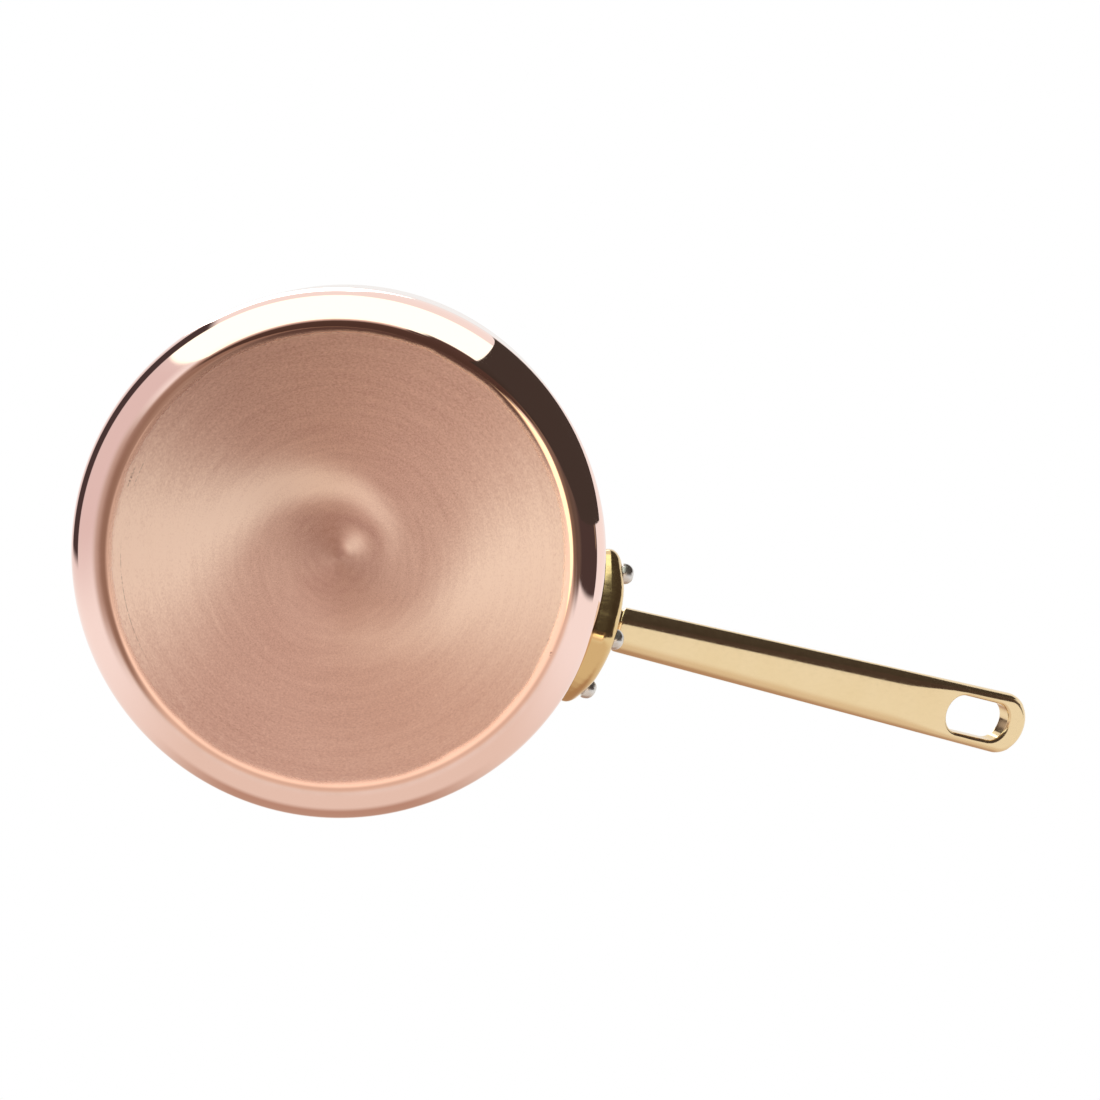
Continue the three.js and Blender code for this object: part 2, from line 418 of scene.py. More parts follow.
def wrap_round_wall(plate):
    """Slices the plate upright, then bends it, with the wall's surface keeping its length."""
    edit(plate)
    bpy.ops.mesh.select_all(action="SELECT")
    half = max(v.co.x for v in bmesh.from_edit_mesh(plate.data).verts)
    for i in range(1, FLANGE_SLICES):
        bpy.ops.mesh.select_all(action="SELECT")
        bpy.ops.mesh.bisect(
            plane_co=((2 * i / FLANGE_SLICES - 1) * half, 0, 0), plane_no=(1, 0, 0)
        )
    only(plate)
    for vertex in plate.data.vertices:
        if vertex.co.y < 0:
            vertex.co.y *= 1 - WING_THINNING * ease(abs(vertex.co.x), 0.5 * half, half)
    apply_modifier(
        plate, "SIMPLE_DEFORM", deform_method="BEND", deform_axis="Z", angle=2 * half / PAN_RADIUS
    )
    plate.rotation_euler.z = math.pi / 2
    plate.location.x = PAN_RADIUS
    done(plate)


wrap_round_wall(handle)
print("flange wrapped:", len(handle.data.polygons), "faces")

# %% [markdown]
# ## The arm
# The arm is a tapering bar that rises from the flange and widens to a round end. A bar of even
# width is made first: half a disc for the end, its cut face extruded back to the root, and both
# rims bevelled. Starting even keeps the round end true and makes the slot a plain cut.

# %% Even bar
SHOULDER_STEPS = 10
BAR_SLICES = 30
CROWN_CUTS = 6
BAR_TURNS = 96
EVEN_SHOULDER = 0.48 * ARM_END_THICKNESS


def even_bar():
    """A bar along X with its underside on Z = 0, as wide and thick as the arm's end."""
    radius = ARM_END_WIDTH / 2
    clear()
    bpy.ops.mesh.primitive_cylinder_add(
        vertices=BAR_TURNS, radius=radius, depth=ARM_END_THICKNESS,
        location=(ARM_LENGTH - radius, 0, ARM_END_THICKNESS / 2),
    )
    bar = bpy.context.object
    bar.name = bar.data.name = "arm"
    done(bar)
    edit(bar)
    bpy.ops.mesh.select_all(action="SELECT")
    bpy.ops.mesh.bisect(
        plane_co=(ARM_LENGTH - radius, 0, 0), plane_no=(1, 0, 0),
        clear_inner=True, use_fill=True,
    )
    bpy.ops.mesh.select_mode(type="FACE")
    pick(bar, "faces", lambda f: f.normal.x < -0.9)
    back = radius - ARM_LENGTH - ARM_EMBED
    bpy.ops.mesh.extrude_region_move(TRANSFORM_OT_translate={"value": (back, 0, 0)})
    edit(bar, "EDGE")
    bpy.ops.mesh.select_all(action="SELECT")
    bpy.ops.mesh.dissolve_limited(angle_limit=FLAT_ANGLE)
    root = -ARM_EMBED + 10 * HAIR
    pick(bar, "edges", lambda e: e.calc_face_angle(0) > 1 and middle(e).x > root)
    bpy.ops.mesh.bevel(
        offset=EVEN_SHOULDER, segments=SHOULDER_STEPS, profile=0.5, affect="EDGES"
    )
    only(bar)
    return bar


arm = even_bar()
print("bar:", [round(d / MM, 1) for d in arm.dimensions], "mm,", len(arm.data.polygons), "faces")

# %% [markdown]
# ## The hanging slot
# A long slot near the arm's end takes a hook or a rail, and its rims are rounded by polishing. A
# bevel would have to find the rims among many small edges. Here the tool that cuts the slot
# flares at both faces instead, so the cut leaves the rims already round.

# %% Hanging slot
SLOT_EASE = 1.1 * MM
SLOT_FAR = ARM_LENGTH - SLOT_TO_TIP - SLOT_WIDTH / 2
SLOT_NEAR = SLOT_FAR - SLOT_LENGTH + SLOT_WIDTH
RIM_STEPS = 7
TOOL_OVERRUN = 1 * MM


def slot_tool():
    """A plug with the slot's outline that flares at both faces, so that it cuts rounded rims."""
    height = ARM_END_THICKNESS + 2 * TOOL_OVERRUN
    clear()
    bpy.ops.mesh.primitive_cylinder_add(
        vertices=BAR_TURNS, radius=SLOT_WIDTH / 2, depth=height,
        location=(SLOT_FAR, 0, ARM_END_THICKNESS / 2),
    )
    tool = bpy.context.object
    done(tool)
    edit(tool)
    bpy.ops.mesh.primitive_cylinder_add(
        vertices=BAR_TURNS, radius=SLOT_WIDTH / 2, depth=height,
        location=(SLOT_NEAR, 0, ARM_END_THICKNESS / 2),
    )
    bpy.ops.mesh.select_all(action="SELECT")
    bpy.ops.mesh.convex_hull()
    for i in range(RIM_STEPS):
        depth = SLOT_EASE * (1 - math.cos(i / (RIM_STEPS - 1) * math.pi / 2))
        for level in (depth, ARM_END_THICKNESS - depth):
            bpy.ops.mesh.select_all(action="SELECT")
            bpy.ops.mesh.bisect(plane_co=(0, 0, level), plane_no=(0, 0, 1))
    only(tool)
    for vertex in tool.data.vertices:
        depth = min(vertex.co.z, ARM_END_THICKNESS - vertex.co.z)
        share = min(1, max(0, 1 - depth / SLOT_EASE))
        flare = SLOT_EASE * (1 - math.sqrt(1 - share**2)) + max(0, -depth)
        centre = Vector((min(max(vertex.co.x, SLOT_NEAR), SLOT_FAR), 0, vertex.co.z))
        vertex.co += (vertex.co - centre).normalized() * flare
    return tool


cut(arm, slot_tool())
print("slot cut:", len(arm.data.polygons), "faces")

# %% [markdown]
# ## The arm's taper
# The real arm narrows towards the pan and grows thicker there. Its underside is a little crowned,
# and its shoulders are rounder at the root than at the end, as a hand-finished casting is. One
# pass over the vertices gives all of these together, which no single operator does. The bar is
# sliced first, and the slot keeps its own width.

# %% Taper, shoulders and crown
SLOT_START = ARM_LENGTH - SLOT_TO_TIP - SLOT_LENGTH
SHOULDER_CHANGE = (SLOT_START - 25 * MM, SLOT_START + 8 * MM)
CROWN_FADE = (SLOT_START - 25 * MM, SLOT_START - 5 * MM)
SLOT_HOLD = (SLOT_START - 20 * MM, SLOT_START)


def slice_bar(bar):
    """Adds cuts across and along the bar, so that it can take the crown."""
    half_flat = ARM_END_WIDTH / 2 - EVEN_SHOULDER
    edit(bar)
    for i in range(1, BAR_SLICES):
        bpy.ops.mesh.select_all(action="SELECT")
        bpy.ops.mesh.bisect(
            plane_co=(-ARM_EMBED + i / BAR_SLICES * (ARM_LENGTH + ARM_EMBED), 0, 0),
            plane_no=(1, 0, 0),
        )
    for i in range(-CROWN_CUTS + 1, CROWN_CUTS):
        bpy.ops.mesh.select_all(action="SELECT")
        bpy.ops.mesh.bisect(plane_co=(0, i / CROWN_CUTS * half_flat, 0), plane_no=(0, 1, 0))
    only(bar)


def across_arm(x, y, flat, shoulder):
    """How far from the arm's middle line a point goes that is y from it on the even bar."""
    even_flat = ARM_END_WIDTH / 2 - EVEN_SHOULDER
    slot_half = SLOT_WIDTH / 2 + SLOT_EASE
    if y > even_flat:
        return flat + (y - even_flat) / EVEN_SHOULDER * shoulder
    beside = y
    if y > slot_half:
        beside = flat - (even_flat - y) / (even_flat - slot_half) * (flat - slot_half)
    return mix(y / even_flat * flat, beside, ease(x, *SLOT_HOLD))


def shape_arm(bar):
    """Moves each vertex from the even bar to the tapering arm."""
    even_half = ARM_END_WIDTH / 2
    for vertex in bar.data.vertices:
        x, y, z = vertex.co
        along = min(1, x / (ARM_LENGTH - even_half))
        half = mix(ARM_ROOT_WIDTH / 2, even_half, along)
        shoulder = mix(ARM_ROOT_SHOULDER, ARM_END_SHOULDER, ease(x, *SHOULDER_CHANGE))
        side = across_arm(x, abs(y), half - shoulder, shoulder)
        thickness = mix(ARM_ROOT_THICKNESS, ARM_END_THICKNESS, max(0, x) / ARM_LENGTH)
        up = z / ARM_END_THICKNESS
        crown = ARM_CROWN * (1 - ease(x, *CROWN_FADE))
        lift = crown * (side / half) ** 2 * (1 - 2 * up)
        vertex.co = (x, math.copysign(side, y), up * thickness + lift)


slice_bar(arm)
shape_arm(arm)
print("arm:", [round(d / MM, 1) for d in arm.dimensions], "mm,", len(arm.data.polygons), "faces")

# %% [markdown]
# ## The arm's root
# Where the arm meets the flange, its edges round inwards to a short neck. The arm is tilted and
# set on the flange's face, cuts are added near the root, and the vertices there move in along a
# quarter circle. A boolean then joins it to the flange, as the real handle is one casting.

# %% Place the arm and neck its root
NECK_CUTS = 8


def face_distance(point):
    """How far a point is outside the flange's face."""
    return math.hypot(point.x, point.y) - FLANGE_FACE


def place_arm(bar):
    """Tilts the arm, sets it on the flange's face and rounds its root into a short neck."""
    bar.rotation_euler.y = -ARM_RISE
    bar.location = (FLANGE_FACE, 0, ARM_ROOT_HEIGHT)
    done(bar)
    along = Vector((math.cos(ARM_RISE), 0, math.sin(ARM_RISE)))
    upward = Vector((-math.sin(ARM_RISE), 0, math.cos(ARM_RISE)))
    start = Vector((FLANGE_FACE, 0, ARM_ROOT_HEIGHT)) + upward * ARM_ROOT_THICKNESS / 2
    edit(bar)
    for i in range(NECK_CUTS):
        turn = i / (NECK_CUTS - 1) * math.pi / 2
        reach = FLANGE_FACE + NECK_LENGTH + NECK_ROUNDING * (1 - math.cos(turn))
        bpy.ops.mesh.select_all(action="SELECT")
        bpy.ops.mesh.bisect(plane_co=(reach, 0, 0), plane_no=(1, 0, 0))
    only(bar)
    for vertex in bar.data.vertices:
        near = 1 - (face_distance(vertex.co) - NECK_LENGTH) / NECK_ROUNDING
        if near <= 0:
            continue
        near = min(near, 1)
        inset = NECK_ROUNDING * (1 - math.sqrt(1 - near**2))
        offset = vertex.co - start
        across = offset - along * offset.dot(along)
        if across.length > 2 * inset:
            vertex.co -= across.normalized() * inset


place_arm(arm)
cut(handle, arm, "UNION")
print("handle:", len(handle.data.polygons), "faces after joining the arm")

# %% [markdown]
# ## The handle's fit
# A real flange is ground until it sits on the wall. Here a plug as wide as the pan is cut away
# from the handle, which leaves its back on the wall exactly, and the rivet holes are drilled
# through it. Weighted normals then keep the large faces flat to the eye beside the small ones
# that the cuts leave.

# %% Fit the handle to the pan
WALL_CLEARANCE = 0.05 * MM
WALL_TURNS = 360
HANDLE_CREASE = 32


def wall_tool():
    """A plug as wide as the pan, which leaves the flange's back on the wall."""
    clear()
    bpy.ops.mesh.primitive_cylinder_add(
        vertices=WALL_TURNS, radius=PAN_RADIUS + WALL_CLEARANCE, depth=2 * PAN_HEIGHT,
        location=(0, 0, PAN_HEIGHT / 2),
    )
    done(bpy.context.object)
    return bpy.context.object


cut(handle, wall_tool())
drill_for_rivets(handle)
smooth(handle, HANDLE_CREASE)
apply_modifier(handle, "WEIGHTED_NORMAL", keep_sharp=True, weight=100)
print("handle fitted:", len(handle.data.polygons), "faces")

# %% [markdown]
# ## The rivets
# Each rivet is a solid steel pin. Its outer head is a small dome that was hammered down on the
# flange, and its inner head is a broad low dome inside the pan. The whole outline turns about one
# axis, so a ring of vertices is extruded and scaled from station to station, and a gentle
# displacement leaves the dome slightly uneven, as a hammer does. One rivet is modelled, then
# copied with its own mesh.

# %% Rivet
RIVET_TURNS = 40
INNER_STEPS = 8
HEAD_STEPS = 10
INNER_SEAT = 0.25 * MM
HEAD_SEAT = 0.35 * MM
HEAD_FULLNESS = 0.9
RIVET_CREASE = 50


def rivet_stations():
    """Distance outward from the wall's surface, and radius, from the inner head to the outer."""
    inside = -COPPER_THICKNESS - LINING_THICKNESS
    face = FLANGE_FACE - PAN_RADIUS
    stations = []
    for i in range(1, INNER_STEPS + 1):
        turn = i / INNER_STEPS * math.pi / 2
        height = RIVET_INNER_HEIGHT * math.cos(turn)
        stations.append((inside - height, RIVET_INNER_HEAD * math.sin(turn)))
    stations.append((inside + INNER_SEAT, RIVET_INNER_HEAD))
    stations.append((inside + INNER_SEAT, RIVET_SHANK))
    stations.append((face - HEAD_SEAT, RIVET_SHANK))
    stations.append((face - HEAD_SEAT, RIVET_HEAD))
    for i in range(HEAD_STEPS):
        turn = i / HEAD_STEPS * math.pi / 2
        height = RIVET_HEAD_HEIGHT * math.sin(turn)
        stations.append((face + height, RIVET_HEAD * math.cos(turn) ** HEAD_FULLNESS))
    return stations


def model_rivet():
    """One rivet, standing on the wall's surface with its axis along Z."""
    stations = rivet_stations()
    clear()
    bpy.ops.mesh.primitive_circle_add(
        vertices=RIVET_TURNS, radius=stations[0][1], fill_type="NGON",
        location=(0, 0, stations[0][0]),
    )
    rivet = bpy.context.object
    done(rivet)
    edit(rivet)
    bpy.ops.mesh.select_all(action="SELECT")
    for (z_from, r_from), (z_to, r_to) in zip(stations, stations[1:]):
        bpy.ops.mesh.extrude_region_move(TRANSFORM_OT_translate={"value": (0, 0, z_to - z_from)})
        bpy.ops.transform.resize(
            value=(r_to / r_from, r_to / r_from, 1), center_override=(0, 0, z_to)
        )
    bpy.ops.mesh.select_all(action="SELECT")
    bpy.ops.mesh.normals_make_consistent(inside=False)
    only(rivet)
    return rivet


# %% Hammered copies
DENT_SIZE = 2.2 * MM
DENT_DEPTH = 0.12 * MM


def hammered(rivet, seed):
    """Moves the outer head's surface by about a tenth of a millimetre at most."""
    face = FLANGE_FACE - PAN_RADIUS
    for vertex in rivet.data.vertices:
        if vertex.co.z > face:
            wave = noise.noise(vertex.co / DENT_SIZE + Vector((seed, 0, 0)))
            vertex.co += vertex.normal * wave * DENT_DEPTH
            vertex.co.z = min(vertex.co.z, face + RIVET_HEAD_HEIGHT)


first_rivet = model_rivet()
rivets = []
for count, (name, angle, height) in enumerate(rivet_places()):
    rivet = bpy.data.objects.new(f"{name}_steel", first_rivet.data.copy())
    bpy.context.scene.collection.objects.link(rivet)
    hammered(rivet, count * 7)
    rivet.rotation_euler = (0, math.pi / 2, angle)
    rivet.location = (PAN_RADIUS * math.cos(angle), PAN_RADIUS * math.sin(angle), height)
    done(rivet)
    smooth(rivet, RIVET_CREASE)
    rivets.append(rivet)
bpy.data.objects.remove(first_rivet, do_unlink=True)
print("rivets:", [r.name for r in rivets])

# %% [markdown]
# ## Finishes
# Every finish is made of nodes on Object coordinates, so a mark stays where it is on the metal.
# Polished metal is a clear mirror with faint wiping marks. Brushed metal is a mirror broken up by
# fine grooves that run round the base, and anisotropy stretches each highlight across them.

# %% Node helpers
def new_material(name):
    """A metal material: returns it, its node tree and its shader."""
    material = bpy.data.materials.new(name)
    material.use_nodes = True
    tree = material.node_tree
    shader = tree.nodes["Principled BSDF"]
    shader.inputs["Metallic"].default_value = 1
    return material, tree, shader


def node(tree, kind, values=None, **settings):
    """Adds a node, sets its settings and its input values, or links them."""
    made = tree.nodes.new(kind)
    for name, value in settings.items():
        setattr(made, name, value)
    for key, value in (values or {}).items():
        if isinstance(value, bpy.types.NodeSocket):
            tree.links.new(value, made.inputs[key])
        else:
            made.inputs[key].default_value = value
    return made


def maths(tree, operation, a, b=0.0, c=0.0):
    """One sum, on numbers or on the outputs of other nodes."""
    return node(tree, "ShaderNodeMath", {0: a, 1: b, 2: c}, operation=operation).outputs[0]


def ramp(tree, value, low, high, to_low=0.0, to_high=1.0):
    """A smooth step from one number to another."""
    values = {
        "Value": value, "From Min": low, "From Max": high, "To Min": to_low, "To Max": to_high
    }
    return node(tree, "ShaderNodeMapRange", values, interpolation_type="SMOOTHSTEP").outputs[0]


def blend(tree, share, first, second):
    """Mixes two colours."""
    made = node(tree, "ShaderNodeMix", {0: share}, data_type="RGBA")
    for socket, value in ((made.inputs[6], first), (made.inputs[7], second)):
        if isinstance(value, bpy.types.NodeSocket):
            tree.links.new(value, socket)
        else:
            socket.default_value = (*value, 1)
    return made.outputs[2]


def grain(tree, vector, scale, detail=3.0, roughness=0.5):
    """Noise between 0 and 1."""
    values = {"Vector": vector, "Scale": scale, "Detail": detail, "Roughness": roughness}
    return node(tree, "ShaderNodeTexNoise", values).outputs["Fac"]


def bump(tree, height, strength, distance, normal=None):
    """A normal that follows a height, over an earlier normal if there is one."""
    values = {"Height": height, "Strength": strength, "Distance": distance}
    if normal:
        values["Normal"] = normal
    return node(tree, "ShaderNodeBump", values).outputs[0]


def place(tree):
    """The point on the piece, its height, and its distance and angle about the pan's axis."""
    point = node(tree, "ShaderNodeTexCoord").outputs["Object"]
    split = node(tree, "ShaderNodeSeparateXYZ", {0: point})
    x, y, z = split.outputs
    squares = maths(tree, "MULTIPLY_ADD", x, x, maths(tree, "MULTIPLY", y, y))
    radius = maths(tree, "SQRT", squares)
    angle = maths(tree, "ARCTAN2", y, x)
    return point, z, radius, angle


def ring_tangent(tree, point):
    """The direction round the pan's axis."""
    cross = node(
        tree, "ShaderNodeVectorMath", {0: (0, 0, 1), 1: point}, operation="CROSS_PRODUCT"
    ).outputs[0]
    return node(tree, "ShaderNodeVectorMath", {0: cross}, operation="NORMALIZE").outputs[0]


def turn_from(tree, degrees, centre):
    """How many degrees an angle is from another, the shorter way round."""
    turned = maths(tree, "SUBTRACT", degrees, centre)
    return maths(tree, "ABSOLUTE", maths(tree, "WRAP", turned, 180, -180))


# %% [markdown]
# ## Marks of use
# A used pan has a few light scratches round the edge of its base. Each is a short arc, given by
# its radius, half width, angle in degrees, half its span and its depth of tone, and noise breaks
# it up. They are drawn in the finish, because they are far too shallow to model.

# %% Marks of use
BASE_MARKS = (
    (65.3 * MM, 0.22 * MM, 150, 20, 0.45),
    (66.6 * MM, 0.45 * MM, 184, 3.2, 0.75),
    (64.9 * MM, 0.20 * MM, 186, 5, 0.5),
    (70.4 * MM, 0.6 * MM, 6.5, 0.7, 0.8),
    (68.0 * MM, 0.25 * MM, 3.5, 0.5, 0.7),
    (41.0 * MM, 0.15 * MM, -60, 30, 0.22),
    (52.5 * MM, 0.15 * MM, 250, 34, 0.22),
)


def base_marks(tree, point, radius, angle):
    """How much of a scratch there is at each point of the base."""
    degrees = maths(tree, "DEGREES", angle)
    broken = ramp(tree, grain(tree, point, 900, 2), 0.38, 0.55)
    total = 0.0
    for reach, half, centre, spread, depth in BASE_MARKS:
        off = maths(tree, "ABSOLUTE", maths(tree, "SUBTRACT", radius, reach))
        line = ramp(tree, off, 0, half, depth, 0)
        ends = ramp(tree, turn_from(tree, degrees, centre), 0.4 * spread, spread, 1, 0)
        total = maths(tree, "MAXIMUM", total, maths(tree, "MULTIPLY", line, ends))
    return maths(tree, "MULTIPLY", total, broken)


# %% [markdown]
# ## Copper
# The wall and corner are polished to a mirror, and the base is brushed in rings on a turning
# wheel, up to a slightly ragged edge. Under a lamp such a base shows two bright fans that curl
# round its middle. Anisotropy alone gives straight fans, so curled fans are painted into the
# copper's colour round the base as painted highlights, with a painted glint, a darker painted
# centre and one side painted a little darker, and fine noise stretched along the rings breaks it
# into grains.

# %% Rings and fans
COPPER_MIRROR = (0.93, 0.69, 0.62)
# The ring at the edge of the base: a rubbed tone, darkened further as painted shade.
COPPER_RUBBED_WITH_PAINTED_SHADE = (0.76, 0.53, 0.43)
DISC_RADIUS = PAN_RADIUS - CORNER_RADIUS
BRUSHED_RADIUS = DISC_RADIUS - 1.4 * MM


def ring_vector(tree, radius, angle, turns):
    """Coordinates for grain that runs round the axis: more turns make shorter grains."""
    return node(tree, "ShaderNodeCombineXYZ", {
        0: maths(tree, "MULTIPLY", radius, 1000),
        1: maths(tree, "MULTIPLY", maths(tree, "COSINE", angle), turns),
        2: maths(tree, "MULTIPLY", maths(tree, "SINE", angle), turns),
    }).outputs[0]


# Where the painted fan highlights lie on the base and how far they curl.
FAN_REST = math.radians(162)
FAN_CURL = math.radians(160)
CURL_REACH = 23 * MM
# The angle round the base where the painted glint lies.
PAINTED_GLINT_ANGLE = math.radians(-63)
# The angle towards which the base is painted a little darker, as painted shade.
PAINTED_SHADE_SIDE = math.radians(252)
BASE_TONE = 0.37


def lobe(tree, angle, centre, power):
    """One at an angle, falling to none a quarter turn away."""
    turned = maths(tree, "COSINE", maths(tree, "SUBTRACT", angle, centre))
    return maths(tree, "POWER", maths(tree, "MAXIMUM", turned, 0), power)


def painted_fan_highlights(tree, radius, angle):
    """Painted highlights of the brushed base: two bright fans that curl as they near a small
    painted dark centre, with a painted glint and one side painted a little darker.
    """
    curl = maths(tree, "POWER", maths(tree, "DIVIDE", radius, CURL_REACH), 4)
    curl = maths(tree, "DIVIDE", FAN_CURL, maths(tree, "ADD", curl, 1))
    curl = maths(tree, "ADD", curl, FAN_REST)
    narrow = ramp(tree, radius, 16 * MM, 44 * MM, 2.2, 7)
    first = lobe(tree, angle, curl, narrow)
    first = maths(tree, "MULTIPLY", first, ramp(tree, radius, 12 * MM, 22 * MM, 0, 0.68))
    second = lobe(tree, angle, maths(tree, "ADD", curl, math.pi), narrow)
    second = maths(tree, "MULTIPLY", second, ramp(tree, radius, 18 * MM, 44 * MM, 0.04, 0.62))
    # A painted glint: a small bright wedge near the centre of the base, drawn in the colour.
    painted_glint = lobe(tree, angle, PAINTED_GLINT_ANGLE, 7)
    painted_glint = maths(tree, "MULTIPLY", painted_glint, ramp(tree, radius, 2 * MM, 5 * MM))
    painted_glint = maths(tree, "MULTIPLY", painted_glint, ramp(tree, radius, 7 * MM, 13 * MM, 0.7, 0))
    # Painted shade: the base is drawn darker round its centre.
    painted_dark_centre = ramp(tree, radius, 6 * MM, 22 * MM, -0.20, 0)
    # Painted shade: the base is drawn a little darker towards one side and lighter towards the
    # other.
    side = maths(tree, "COSINE", maths(tree, "SUBTRACT", angle, PAINTED_SHADE_SIDE))
    side = maths(tree, "MULTIPLY", side, -0.05)
    total = maths(tree, "ADD", maths(tree, "ADD", first, second), maths(tree, "ADD", painted_glint, painted_dark_centre))
    return maths(tree, "ADD", maths(tree, "ADD", total, side), BASE_TONE)


# %% Copper
COPPER_DEEP = (0.44, 0.24, 0.195)
COPPER_BASE = (0.68, 0.44, 0.37)
COPPER_BRIGHT = (1.0, 0.78, 0.67)
SCRATCH_TONE = (0.16, 0.09, 0.07)


def brushed_tone_and_painted_fans(tree, radius, angle, fine):
    """The brushed base's colour: deep, middling or bright, from the grain and the painted fan
    highlights.
    """
    coarse = grain(tree, ring_vector(tree, radius, angle, 3.2), 0.6, 3, 0.6)
    grain_and_painted_sheen = maths(tree, "MULTIPLY_ADD", fine, 1.2, -0.6)
    # Painted highlights: the curled fans are added to the grain as colour.
    grain_and_painted_sheen = maths(tree, "ADD", painted_fan_highlights(tree, radius, angle), grain_and_painted_sheen)
    grain_and_painted_sheen = maths(tree, "ADD", grain_and_painted_sheen, maths(tree, "MULTIPLY_ADD", coarse, 0.3, -0.15))
    tones = node(tree, "ShaderNodeValToRGB", {0: grain_and_painted_sheen})
    stops = tones.color_ramp.elements
    stops[0].color = (*COPPER_DEEP, 1)
    stops[1].color = (*COPPER_BRIGHT, 1)
    stops.new(0.4).color = (*COPPER_BASE, 1)
    return tones.outputs[0]


def copper_material():
    """Polished copper, brushed on the flat of the base."""
    material, tree, shader = new_material("copper polished and brushed")
    point, z, radius, angle = place(tree)
    wander = maths(tree, "MULTIPLY", grain(tree, point, 70, 5, 0.6), 2.2 * MM)
    edge = maths(tree, "ADD", radius, wander)
    flat = ramp(tree, edge, BRUSHED_RADIUS, BRUSHED_RADIUS + 2.4 * MM, 1, 0)
    under = ramp(tree, z, 0.4 * MM, 1.0 * MM, 1, 0)
    brushed = maths(tree, "MULTIPLY", flat, under)
    fine = grain(tree, ring_vector(tree, radius, angle, 30), 2.2, 5, 0.8)
    # The rubbed ring by the base's edge: a rubbed tone, darkened further as painted shade.
    rubbed = ramp(tree, edge, DISC_RADIUS + 1.6 * MM, DISC_RADIUS + 4.5 * MM, 1, 0)
    rubbed = maths(tree, "MULTIPLY", rubbed, under)
    mirror = blend(tree, rubbed, COPPER_MIRROR, COPPER_RUBBED_WITH_PAINTED_SHADE)
    # The brushed base's colour is the grain plus painted fan highlights, a painted glint and
    # painted shade.
    colour = blend(tree, brushed, mirror, brushed_tone_and_painted_fans(tree, radius, angle, fine))
    marks = base_marks(tree, point, radius, angle)
    marks = maths(tree, "MULTIPLY", marks, ramp(tree, z, 1 * MM, 2 * MM, 1, 0))
    colour = blend(tree, marks, colour, SCRATCH_TONE)
    tree.links.new(colour, shader.inputs["Base Color"])
    polished_rough = ramp(tree, grain(tree, point, 140, 5), 0.35, 0.8, 0.02, 0.055)
    brushed_rough = ramp(tree, fine, 0.2, 0.8, 0.28, 0.40)
    rough = node(tree, "ShaderNodeMix", {0: brushed, 2: polished_rough, 3: brushed_rough})
    tree.links.new(rough.outputs[0], shader.inputs["Roughness"])
    shader.inputs["Anisotropic"].default_value = 0.75
    tree.links.new(ring_tangent(tree, point), shader.inputs["Tangent"])
    grooves = bump(tree, maths(tree, "MULTIPLY", fine, brushed), 0.5, 0.05 * MM)
    waves = bump(tree, grain(tree, point, 30, 2), 0.10, 0.25 * MM, grooves)
    tree.links.new(waves, shader.inputs["Normal"])
    return material


# %% [markdown]
# ## Steel, brass and rivets
# The lining is satin steel, rubbed in rings like the base but finer. The brass is polished but
# keeps a linen-like grain along the arm and a soft waviness from casting, and it looks a little
# deeper where it meets the wall. The rivets are duller, with small dents. Each finish is a tone,
# a roughness and a bump that share the same noise, so that the marks agree with each other.

# %% Steel lining
def lining_material():
    """Satin steel, rubbed in rings."""
    material, tree, shader = new_material("steel satin")
    point, z, radius, angle = place(tree)
    rings = ring_vector(tree, maths(tree, "ADD", radius, z), angle, 2.5)
    fine = grain(tree, rings, 3.4, 4, 0.6)
    colour = blend(tree, fine, (0.50, 0.49, 0.475), (0.66, 0.655, 0.64))
    tree.links.new(colour, shader.inputs["Base Color"])
    tree.links.new(ramp(tree, fine, 0.2, 0.8, 0.24, 0.36), shader.inputs["Roughness"])
    shader.inputs["Anisotropic"].default_value = 0.6
    tree.links.new(ring_tangent(tree, point), shader.inputs["Tangent"])
    tree.links.new(bump(tree, fine, 0.35, 0.03 * MM), shader.inputs["Normal"])
    return material


# %% Cast brass
def brass_material():
    """Polished cast brass, with its grain along the arm."""
    material, tree, shader = new_material("brass polished casting")
    point, z, radius, angle = place(tree)
    stretched = node(tree, "ShaderNodeMapping", {
        "Vector": point, "Rotation": (0, ARM_RISE, 0), "Scale": (0.12, 1, 1)
    }).outputs[0]
    linen = grain(tree, stretched, 900, 4, 0.6)
    cloud = grain(tree, point, 60, 3)
    near_wall = ramp(tree, radius, FLANGE_FACE - 0.5 * MM, FLANGE_FACE + 5 * MM, 1, 0)
    light = blend(tree, cloud, (0.81, 0.62, 0.35), (0.85, 0.67, 0.41))
    colour = blend(tree, near_wall, light, (0.76, 0.55, 0.27))
    tree.links.new(colour, shader.inputs["Base Color"])
    tree.links.new(ramp(tree, linen, 0.25, 0.8, 0.10, 0.20), shader.inputs["Roughness"])
    fine = bump(tree, linen, 0.05, 0.03 * MM)
    soft = bump(tree, grain(tree, point, 75, 2), 0.14, 0.25 * MM, fine)
    tree.links.new(soft, shader.inputs["Normal"])
    return material


# %% Rivet steel
def rivet_material():
    """Tumbled steel."""
    material, tree, shader = new_material("steel tumbled")
    point = place(tree)[0]
    dents = grain(tree, point, 420, 3)
    colour = blend(tree, dents, (0.58, 0.55, 0.52), (0.82, 0.80, 0.77))
    tree.links.new(colour, shader.inputs["Base Color"])
    tree.links.new(ramp(tree, dents, 0.2, 0.8, 0.20, 0.38), shader.inputs["Roughness"])
    tree.links.new(bump(tree, dents, 0.35, 0.12 * MM), shader.inputs["Normal"])
    return material


# %% [markdown]
# ## Finishing each piece
# Each finished piece rides on the one body of the pan, and stands for one node of the measured
# model.

# %% Give each piece its finish
def finish_piece(piece, material, slot, *nodes):
    """Gives a piece its material and its body, and hides the frame's nodes that it stands for.
    The slot is not used.
    """
    piece.data.materials.clear()
    piece.data.materials.append(material)
    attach(piece, "root")
    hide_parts(*nodes)


